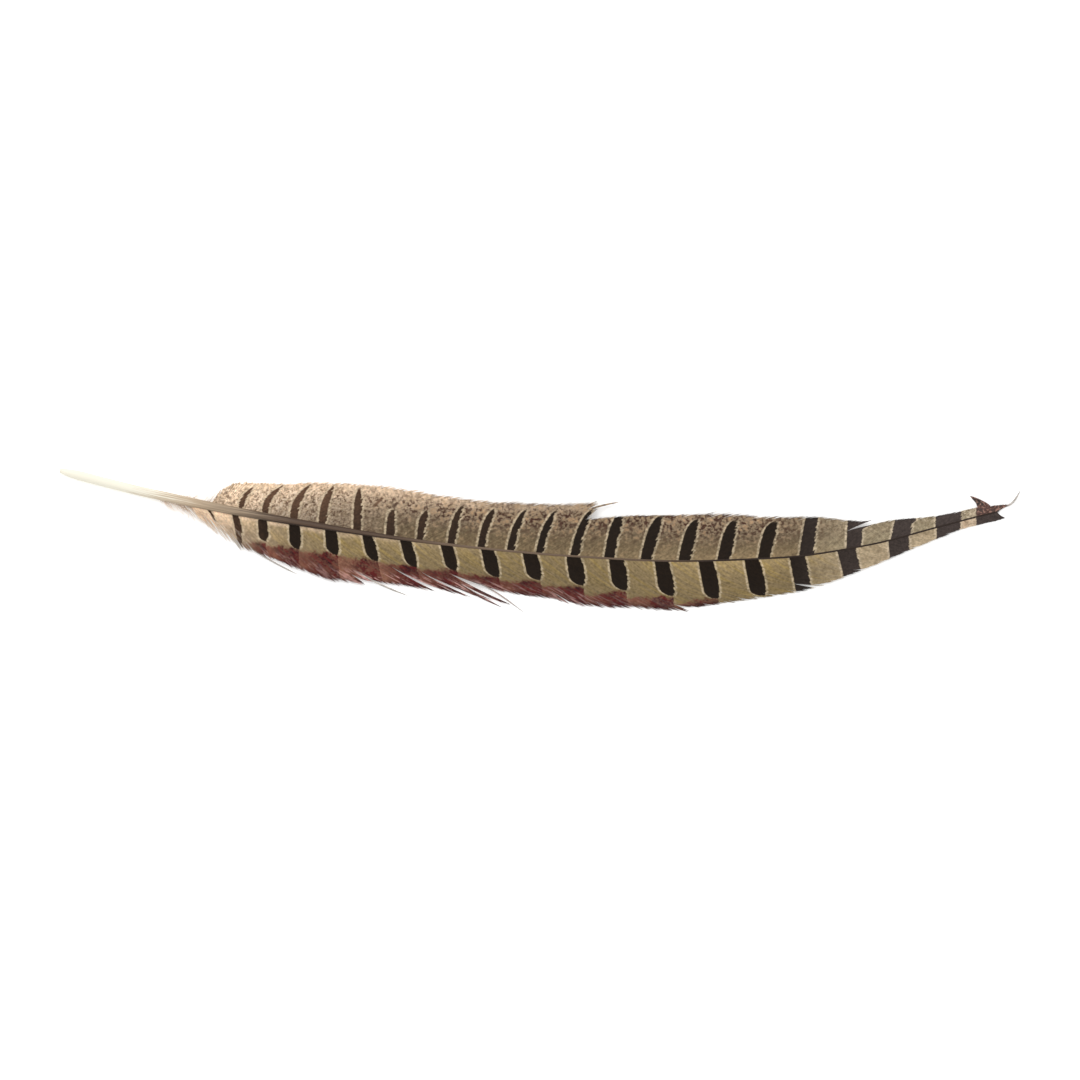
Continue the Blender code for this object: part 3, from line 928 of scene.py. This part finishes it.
def read_bars(bench, side):
    """Reads the bars: (bar, halo, share of the room after the last bar, ended, outside)."""
    names = ("crossed", "bar_half", "teeth", "bar_room", "bar_reach")
    crossed, half, teeth, room, reach = map(bench.stored, names)
    from_bar = ((bench.stored("bar_count") + 0.5).math("FRACT") - 0.5) * room
    boot_length, boot_pull = BOOT[side]
    near_tooth, far_tooth = TOOTH[side]
    turning = ((crossed - reach) / boot_length + 1).math("MAXIMUM", 0.0).math("MINIMUM", 1.0)
    boot = 1 - (1 - turning * turning).math("SQRT")
    passed = (crossed / reach).math("MINIMUM", 1.0)
    swell = passed * (1 - passed) * (1 - reach.rise(*SWELL_ENDS)) * SWELL[side]
    far = half * (1 + swell) * (1 - boot * TUCK[side]) + teeth * far_tooth
    if side == UPPER:
        far = far + bench.stored("bar_flag")
    near = half * (1 - boot * (1 + boot_pull)) + teeth * near_tooth
    beyond = from_bar - far
    before = 0 - from_bar - near
    outside = beyond.math("MAXIMUM", before)
    clear = outside.rise(-EDGE_SOFTNESS, EDGE_SOFTNESS)
    ended = (crossed - reach).rise(-END_SOFTNESS[side], END_SOFTNESS[side])
    near_halo, far_halo = HALO_STRENGTH[side]
    strength = (before - beyond).rise(-HALO_CHANGES, HALO_CHANGES) * (near_halo - far_halo) + far_halo
    halo = clear * (1 - outside.rise(0.5 * HALO_WIDTH, HALO_WIDTH))
    halo = halo * (1 - ended * (1 - HALO_PAST_END)) * strength
    halo = halo * (1 - bench.stored("bar_plum") * HALO_DULLED)
    after_bar = (beyond / room).math("FRACT")
    return (1 - clear) * (1 - ended), halo, after_bar, ended, outside


# %% The ground of a vane
STREAK = (0.55, 1.6)  # how quickly a noise changes across the barbs, and along them
GRAIN = (1.5, 10.0)
MOTTLE = 420.0
DUST = 1300.0
COARSE_FLECKS = (980.0, 540.0)
FINE_FLECKS = (2000.0, 1050.0)


def barb_noises(bench):
    """Two noises drawn out along the barbs, and two that are the same in all directions."""
    root, crossed = bench.stored("root"), bench.stored("crossed")
    for across, lengthwise in (STREAK, GRAIN):
        yield bench.noise(1.0, place=bench.vector(root * across, crossed * lengthwise))
    yield bench.noise(MOTTLE)
    yield bench.noise(DUST, 1.0)


def plain_ground(bench, side, streak, mottle):
    """The buff or the olive of a vane, with its pale tip and its cream foot."""
    blend = bench.blend
    if side == LOWER:
        plain = blend(BUFF, BUFF_GOLD, streak.rise(0.46, 0.7) * 0.7)
        plain = blend(plain, BUFF_GREY, 0.5 - streak.rise(0.3, 0.5) * 0.5)
    else:
        plain = blend(OLIVE, OLIVE_DEEP, streak.rise(0.42, 0.75) * 0.5)
    shaded = (streak * 0.4 + mottle * 0.6).rise(0.4, 0.64) * 0.6
    tip = blend(TIP_GROUND[side], TIP_SHADE[side], shaded)
    cream = blend(CREAM, CREAM_SHADE, mottle.rise(0.45, 0.7) * 0.6)
    return blend(blend(plain, tip, bench.stored("tip_pale")), cream, bench.stored("cream"))


def speckled(bench, ground, streak, halo, ended, outside):
    """Light and dark flecks, most of them coarse, and fine ones at the foot and the tip."""
    blend, noise, fine = bench.blend, bench.noise, bench.stored("fine")
    strength = bench.stored("speckle") * (1 - halo * 0.8) * (streak.rise(0.3, 0.6) * 0.3 + 0.7)
    many, few = COARSE_FLECKS
    coarse = noise(many, distortion=0.3) * 0.6 + noise(few, distortion=0.5) * 0.4
    many, few = FINE_FLECKS
    small = noise(many, 1.0) * 0.5 + noise(few, 1.0) * 0.5
    fleck = coarse + (small - coarse) * fine + ended * (1 - outside.rise(0.2, 1.6)) * 0.05
    light = blend(SPECKLE_LIGHT, CREAM_LIGHT, fine)
    ground = blend(ground, light, (1 - fleck.rise(0.37, 0.5)) * strength * 0.75)
    dark = blend(SPECKLE_DARK, SPECKLE_BROWN, fine)
    return blend(ground, dark, fleck.rise(0.48, fine * 0.04 + 0.58) * strength)


# %% The marks on a vane
def fringed(bench, ground, after_bar, streak, grain, mottle, dust):
    """The red fringe: it starts late and rosy after a bar, deepens towards the next, and carries
    painted pink highlights.
    """
    stored, blend = bench.stored, bench.blend
    crossed = stored("crossed")
    late = stored("red_delay") * (1 - after_bar.rise(0.0, 0.85))
    past_start = crossed - stored("red_start") - late + (dust + mottle - 1.0) * 0.14
    depth = after_bar.rise(0.05, 0.65) * 0.6 + (mottle * 0.5 + dust * 0.5).rise(0.44, 0.56) * 0.4
    depth = 1 - (1 - depth) * stored("rosiness")
    hairs = streak * 0.5 + grain * 0.5
    red = blend(ROSE, blend(WINE, WINE_DEEP, hairs.rise(0.44, 0.56)), depth)
    red = blend(red, WINE_DEEP, crossed.rise(0.84, 0.98) * 0.7)
    # Painted pink highlights along the fringe's hairs, near the margin.
    pink = hairs.rise(0.5, 0.58) * crossed.rise(0.68, 0.84)
    red = blend(red, PINK_HIGHLIGHT, pink * stored("rust_and_highlights") * 0.9)
    return blend(ground, red, past_start.rise(-0.04, 0.06) * stored("red"))


def marked(bench, colour, dark, grain, mottle, dust):
    """The upper vane's stray mark, and the rust and painted peach highlights that mottle the dark of
    its tip.
    """
    stored, blend = bench.stored, bench.blend
    past, beside = (stored(key).math("ABSOLUTE") for key in ("past_mark", "beside_mark"))
    mark = (1 - past.rise(1.5, 2.6)) * (1 - beside.rise(0.2, 0.7))
    colour = blend(colour, BROWN, mark * 0.9)
    # Rust mottles the dark of the tip, and the peach over it is painted highlight.
    rust_and_highlight_mask = stored("rust_and_highlights") * dark
    colour = blend(colour, RUST, rust_and_highlight_mask * (mottle * 0.5 + grain * 0.5).rise(0.4, 0.56))
    return blend(colour, PEACH_HIGHLIGHT, rust_and_highlight_mask * dust.rise(0.5, 0.66) * 0.6)


def barb_material(name, side):
    material, bench = new_material(name)
    stored, blend = bench.stored, bench.blend
    bar, halo, after_bar, ended, outside = read_bars(bench, side)
    streak, grain, mottle, dust = barb_noises(bench)
    ground = plain_ground(bench, side, streak, mottle)
    if side == UPPER:
        ground = speckled(bench, ground, streak, halo, ended, outside)
    # Painted light and shade: the ground's colour is scaled by the stored light.
    painted_light_scale = {"Vector": ground, "Scale": stored("light")}
    ground = bench.add("ShaderNodeVectorMath", painted_light_scale, operation="SCALE")
    edging = blend(HALO, CREAM_LIGHT, stored("tip_pale") * 0.35)
    ground = blend(ground, edging, halo * (dust.rise(0.35, 0.6) * 0.5 + 0.5))
    if side == LOWER:
        ground = fringed(bench, ground, after_bar, streak, grain, mottle, dust)
    black = blend(blend(BLACK, BROWN, stored("bar_brown")), PLUM, stored("bar_plum"))
    stain = stored("stain")
    colour = blend(blend(ground, black, bar), PLUM, stain.rise(0.0, 1.0))
    if side == UPPER:
        colour = marked(bench, colour, bar.math("MAXIMUM", stain), grain, mottle, dust)
    colour = blend(colour, ASH, (0 - stain).rise(0.0, 1.0))
    tone = stored("tone") * 0.05 + (grain + dust - 1.0) * 0.9 + 1.0
    toned = bench.add("ShaderNodeHueSaturation", {"Color": colour, "Value": tone})
    bench.shade(toned, 0.66 - bar * 0.1, 0.15)
    return material


# %% Growing the two vanes
CLEARANCE = 0.12  # the least height of a barb's line over the surface
BARB_SIDES = 4
BARB_FLATNESS = 0.28
THINS_FROM = 0.88


def grow_vane(name, side, seed):
    chance = np.random.default_rng(seed)
    roots, points, shares, room, fall = vane_lines(side, chance)
    stain = draw_out(side, roots, points, shares, room, chance)
    points[..., 2] = np.maximum(points[..., 2], CLEARANCE)
    values = place_values(side, points, shares, roots, stain, chance)
    thinning = 1 - (1 - TIP_WIDTH) * ease(np.linspace(0, 1, STEPS), THINS_FROM, 1.0)
    roll = SHINGLE + SHINGLE_SPREAD * chance.standard_normal((len(roots), 1))
    values["half_width"] = room / 2 * COVER * thinning * MM
    values["roll"] = fall + side * roll
    finish = barb_material(name + "_barbs", side)
    return swept(name, points, values, Sides=BARB_SIDES, Flatness=BARB_FLATNESS, Material=finish)


upper_vane = grow_vane("upper_vane", UPPER, SEED)
lower_vane = grow_vane("lower_vane", LOWER, SEED + 1)

# %% [markdown]
# ## The quill and the shaft
#
# At the foot the quill is a round tube with a small pit where it took its food. Where the
# vanes begin it fills with pith and turns into the shaft, which is squarer: flat sides
# that the barbs grow from, a rounded back, and a groove along the underside. So the tube is
# lofted ring after ring, each shaped by where it stands.

# %% Lofting the shaft
RINGS = 150
SIDES = 28
PIT_RADIUS = 0.35
PIT_RINGS = ((1.2, 0.5), (0.1, 1), (0, 1.3))  # how deep each lies, and its share of that radius
POINT = (1.5, 0.05)  # how far the shaft runs on to its point, and the radius there
TURNS_SQUARE = (-128.0, -108.0)
SQUARENESS = 0.3
BACK_FLATNESS = 0.12  # this and the groove are shares of the radius
GROOVE_DEPTH = 0.28
GROOVE_WIDTH = 0.3


def shaft_ring(x, radius):
    """One ring of the shaft: its points, from the +Y side round over the top."""
    turn = np.linspace(0, 2 * np.pi, SIDES, endpoint=False)
    square = float(ease(x, *TURNS_SQUARE))
    power = 1 - SQUARENESS * square
    across = np.sign(np.cos(turn)) * np.abs(np.cos(turn)) ** power
    up = np.sign(np.sin(turn)) * np.abs(np.sin(turn)) ** power
    up = np.where(up > 0, up * (1 - BACK_FLATNESS * square), up)
    up += square * GROOVE_DEPTH * np.exp(-(across / GROOVE_WIDTH) ** 2) * (np.sin(turn) < 0)
    ahead = along(SHAFT_LINE, x + 0.5) - along(SHAFT_LINE, x - 0.5)
    length = math.hypot(1.0, ahead)
    ring = np.empty((SIDES, 3))
    ring[:, 0] = x - ahead / length * across * radius
    ring[:, 1] = along(SHAFT_LINE, x) + 1.0 / length * across * radius
    ring[:, 2] = np.maximum(along(SHAFT_HEIGHT, x) + up * radius, 0.0)
    return ring


def shaft_mesh():
    """The quill and shaft as one closed tube, with each point's place along it and round it."""
    foot = SHAFT_LINE[0][0]
    depths, shares = np.array(PIT_RINGS).T
    course = np.linspace(foot, SHAFT_END, RINGS)
    places = np.concatenate((foot + depths, course, [SHAFT_END + POINT[0]]))
    radii = np.concatenate((PIT_RADIUS * shares, along(SHAFT_RADIUS, course), [POINT[1]]))
    points = np.concatenate([shaft_ring(x, radius) for x, radius in zip(places, radii)])
    order = np.arange(len(points)).reshape(-1, SIDES)
    beside = np.roll(order, -1, axis=1)
    faces = np.stack((order[:-1], beside[:-1], beside[1:], order[1:]), axis=-1)
    faces = faces.reshape(-1, 4).tolist() + [order[0].tolist(), order[-1, ::-1].tolist()]
    mesh = bpy.data.meshes.new("quill_and_shaft")
    mesh.from_pydata((points * MM).tolist(), [], faces)
    store(mesh, "around", np.tile(np.arange(SIDES) / SIDES, len(places)))
    store(mesh, "reached", np.repeat(places, SIDES))
    return mesh


# %% [markdown]
# The quill is ivory. The shaft's back darkens to the brown of horn within a few
# centimetres, in fine lengthwise streaks, darkest along its edges and most of all on the
# lower vane's side, while its underside stays paler. The streaks follow the shaft because
# they read its own attributes: how far along it a point lies, and how far round.

# %% Painting the shaft
IVORY_TANS = (-129.0, -108.0)
TAN_BROWNS = (-118.0, -76.0)
SHAFT_GREYS = (-50.0, -22.0)
LINE_DARKENS = (20.0, 60.0)
STREAK_RUN = 40.0  # how much sooner one streak turns brown than another
EDGE_LEAD = 2.0
DARK_BELOW = (0.25, 0.6)  # out from the shaft's middle, on the lower vane's side
DARK_ABOVE = (0.6, 0.95)  # and on the upper vane's
DRAWN_OUT = 0.05  # how quickly the streaks change along the shaft
ROUND_STREAKS = 2.2  # and round it


def shaft_material():
    material, bench = new_material("horn_and_ivory")
    blend = bench.blend
    reached = bench.stored("reached")
    turn = bench.stored("around") * (2 * math.pi)
    across, up = turn.math("COSINE"), turn.math("SINE")
    place = bench.vector(reached * DRAWN_OUT, across * ROUND_STREAKS, up * ROUND_STREAKS)
    streak = bench.noise(2.4, 4.0, place)
    edge = (0 - across).rise(*DARK_BELOW) + across.rise(*DARK_ABOVE) * 0.4
    middle = 1 - across.math("ABSOLUTE").rise(0.0, 0.5)
    horn = blend(HORN, HORN_DARK, streak.rise(0.42, 0.62) * 0.5)
    horn = blend(horn, HORN_GREY, middle * streak.rise(0.3, 0.6) * 0.4)
    horn = blend(horn, HORN_DARK, edge * 0.85)
    slim = blend(HORN_GREY, HORN, streak.rise(0.4, 0.6) * 0.5)
    slim = blend(slim, HORN_DARK, reached.rise(*LINE_DARKENS))
    horn = blend(horn, slim, reached.rise(*SHAFT_GREYS))
    uneven = reached + streak * STREAK_RUN + edge * EDGE_LEAD - STREAK_RUN / 2
    ivory = blend(IVORY, HORN_TAN, uneven.rise(*IVORY_TANS))
    back = up.rise(-0.35, 0.35) * 0.7 + 0.3
    colour = blend(ivory, horn, uneven.rise(*TAN_BROWNS) * back)
    bench.shade(colour, streak * 0.2 + 0.38, 0.22)
    return material


quill = put("quill_and_shaft", shaft_mesh())
quill.data.materials.append(shaft_material())
quill.data.shade_smooth()
print("the shaft has", len(quill.data.polygons), "faces")

# %% [markdown]
# ## The down at the foot
#
# The lowest barbs have no hooks. They are short, soft and wavy, and stand off the quill as
# a thin tuft of down. The same sweeper draws them, round in section and far finer.

# %% Growing the down
DOWN_ROOTS = (-121.0, -101.0)
DOWN_STRANDS = {UPPER: 90, LOWER: 260}
DOWN_STEPS = 14
DOWN_SIDES = 5
DOWN_RADIUS = 0.045
DOWN_THINNING = 0.7
DOWN_START = 0.5  # how far from the shaft's middle a strand starts
DOWN_REACH = (0.3, 1.12)  # shares of the vane's width, read so far ahead:
DOWN_AHEAD = 3.0
DOWN_RUN = (0.5, 1.1)  # shares of a barb's run
DOWN_LEAST = (0.4, 1.0)  # what is added to reach and run, so that no strand is a stub
DOWN_HASTE = 0.9  # below 1, a strand runs forward at once and turns out later
DOWN_WAVES = (4, 12)
DOWN_SWING = (0.35, 0.3)  # lengthwise and sideways
DOWN_LIFT = (-0.6, 0.9)
DOWN_CLEARANCE = 0.1


def down_lines(side, count, chance):
    """Short wavy strands that leave one side of the shaft."""
    roots = chance.uniform(*DOWN_ROOTS, (count, 1))
    steps = np.linspace(0, 1, DOWN_STEPS)[None, :]
    width = along(VANE_WIDTH[side], roots + DOWN_AHEAD) * chance.uniform(*DOWN_REACH, (count, 1))
    width = width + DOWN_LEAST[0]
    run = along(BARB_RUN[side], roots) * chance.uniform(*DOWN_RUN, (count, 1)) + DOWN_LEAST[1]
    wave = waves(steps, DOWN_WAVES, count, chance)
    x = roots + run * steps ** DOWN_HASTE + DOWN_SWING[0] * wave * steps
    away = DOWN_START + (width - DOWN_START) * steps
    y = along(SHAFT_LINE, x) + side * away + DOWN_SWING[1] * wave * steps
    top, edge = along(SHAFT_HEIGHT, x), along(MARGIN_HEIGHT[side], x)
    z = top + (edge - top) * steps + chance.uniform(*DOWN_LIFT, (count, 1)) * steps
    return np.stack((x, y, np.maximum(z, DOWN_CLEARANCE)), axis=-1)


def down_material():
    material, bench = new_material("soft_down")
    bench.shade(bench.blend(TAN, CREAM_SHADE, bench.noise(260.0).rise(0.4, 0.7)), 0.8, 0.15)
    return material


def grow_down():
    chance = np.random.default_rng(SEED + 2)
    tufts = [down_lines(side, count, chance) for side, count in DOWN_STRANDS.items()]
    points = np.concatenate(tufts)
    thinning = 1 - DOWN_THINNING * np.linspace(0, 1, DOWN_STEPS)
    values = {"half_width": DOWN_RADIUS * MM * thinning, "roll": 0.0}
    return swept("down", points, values, Sides=DOWN_SIDES, Flatness=1.0, Material=down_material())


down = grow_down()

# %% [markdown]
# ## Onto the frame
#
# Nothing on a feather moves, so every piece rides on the one body. Together the four
# pieces stand for the plain solid, which is hidden and stays for collision.

# %% Ride and replace
for piece, finish in ((quill, "quill"), (upper_vane, "barbs"), (lower_vane, "barbs"), (down, "down")):
    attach(piece, "root")
    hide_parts("feather")

# %% [markdown]
# ## Floor, light and camera
#
# The feather lies on white paper and is seen from straight above, through a long lens, so
# that it keeps its true outline. The light comes from everywhere, with one large lamp a
# little to one side to show the relief of the barbs.

# %% A white floor
FLOOR_SIZE = 8.0  # in metres, as the lamp's place and size are
PAPER = linear(247, 247, 246)
PAPER_SHADE = linear(244, 244, 243)
PAPER_GLOW = 0.3  # keeps the shadows on the paper faint


def make_floor():
    bpy.ops.mesh.primitive_plane_add(size=FLOOR_SIZE, location=(0, 0, 0))
    floor = bpy.context.object
    floor.name = "paper"
    material, bench = new_material("white_paper")
    shader = bench.shade(bench.blend(PAPER, PAPER_SHADE, bench.noise(3.0)), 0.9, 0.0)
    shader.inputs["Emission Color"].default_value = (1, 1, 1, 1)
    shader.inputs["Emission Strength"].default_value = PAPER_GLOW
    floor.data.materials.append(material)


make_floor()

# %% Soft light
SKY = 0.7
LAMP_POWER = 12.6
LAMP_PLACE = (-0.55, 0.75, 1.3)
LAMP_SIZE = 0.9


def aim_at_feather(thing):
    """Turns a lamp to face the middle of the feather."""
    x, y, z = thing.location
    thing.rotation_euler = (math.atan2(math.hypot(x, y), z), 0, math.atan2(-y, -x) - math.pi / 2)


def make_light():
    world = bpy.data.worlds.new("studio")
    world.use_nodes = True
    background = world.node_tree.nodes["Background"]
    background.inputs["Color"].default_value = (1, 1, 1, 1)
    background.inputs["Strength"].default_value = SKY
    bpy.context.scene.world = world
    lamp_data = bpy.data.lights.new("soft_lamp", "AREA")
    lamp_data.energy = LAMP_POWER
    lamp_data.size = LAMP_SIZE
    lamp = put("soft_lamp", lamp_data)
    lamp.location = LAMP_PLACE
    aim_at_feather(lamp)


make_light()
bpy.context.scene.view_settings.view_transform = "Standard"

# %% The camera
VIEW_WIDTH = 340.0  # what the picture takes in, at the height of the floor
LENS = 200.0
SENSOR = 36.0


def make_camera():
    distance = VIEW_WIDTH * LENS / SENSOR
    data = bpy.data.cameras.new("camera")
    data.lens = LENS
    data.sensor_width = SENSOR
    data.clip_end = 50.0
    camera = put("camera", data)
    camera.location = (0, 0, distance * MM)
    bpy.context.scene.camera = camera
    print("the camera stands", round(distance), "mm over the feather")


make_camera()
